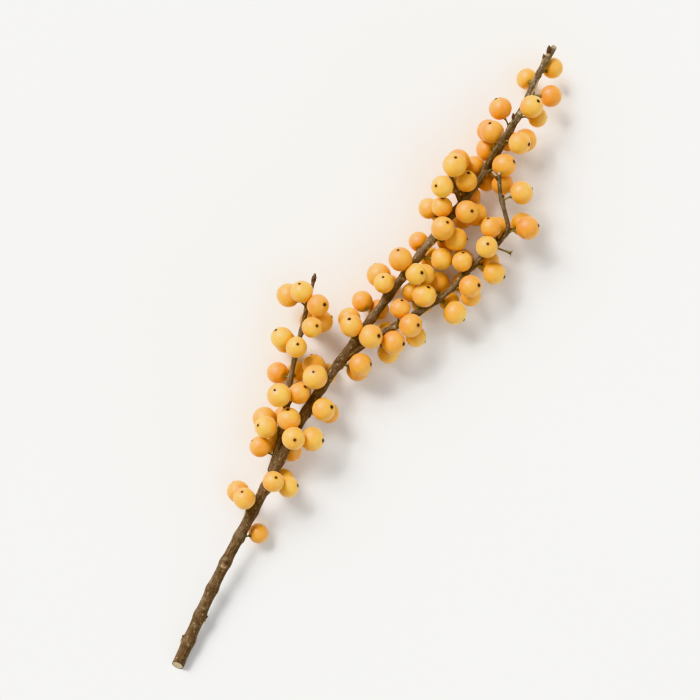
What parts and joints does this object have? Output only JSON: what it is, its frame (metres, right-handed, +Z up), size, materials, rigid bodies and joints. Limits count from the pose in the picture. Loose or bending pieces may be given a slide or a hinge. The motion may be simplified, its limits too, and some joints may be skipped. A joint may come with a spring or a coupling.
{
  "type": "winterberry holly sprig",
  "caption": "Cut leafless sprig of winterberry holly, a forked brown woody stem with tight clusters of round orange-yellow berries on short stalks.",
  "frame": {"origin": "middle of the footprint on the surface that the sprig lies on", "axes": "+X along the main stem from its cut foot to its tip, +Z up from the surface"},
  "size_m": [0.3636, 0.0928, 0.0379],
  "materials": {
    "bark": "matte",
    "berry_skin": "satin"
  },
  "bodies": {
    "root": {"woody_stem": "bark", "berries_main_01": "berry_skin", "berries_main_02": "berry_skin", "berries_main_03": "berry_skin", "berries_main_04": "berry_skin", "berries_main_05": "berry_skin", "berries_main_06": "berry_skin", "berries_main_07": "berry_skin", "berries_main_08": "berry_skin", "berries_main_09": "berry_skin", "berries_main_10": "berry_skin", "berries_main_11": "berry_skin", "berries_main_12": "berry_skin", "berries_main_13": "berry_skin", "berries_main_14": "berry_skin", "berries_main_15": "berry_skin", "berries_main_16": "berry_skin", "berries_main_17": "berry_skin", "berries_main_18": "berry_skin", "berries_main_19": "berry_skin", "berries_main_20": "berry_skin", "berries_main_21": "berry_skin", "berries_main_22": "berry_skin", "berries_main_23": "berry_skin", "berries_main_24": "berry_skin", "berries_main_25": "berry_skin", "berries_main_26": "berry_skin", "berries_right_01": "berry_skin", "berries_right_02": "berry_skin", "berries_right_03": "berry_skin", "berries_right_04": "berry_skin", "berries_right_05": "berry_skin", "berries_right_06": "berry_skin", "berries_right_07": "berry_skin", "berries_right_08": "berry_skin", "berries_right_09": "berry_skin", "berries_right_10": "berry_skin", "berries_right_11": "berry_skin", "berries_left_01": "berry_skin", "berries_left_02": "berry_skin", "berries_left_03": "berry_skin", "berries_left_04": "berry_skin", "berries_left_05": "berry_skin", "berries_left_06": "berry_skin", "berries_spur_01": "berry_skin", "berries_spur_02": "berry_skin", "berries_front_twig_01": "berry_skin"}
  },
  "joints": []
}
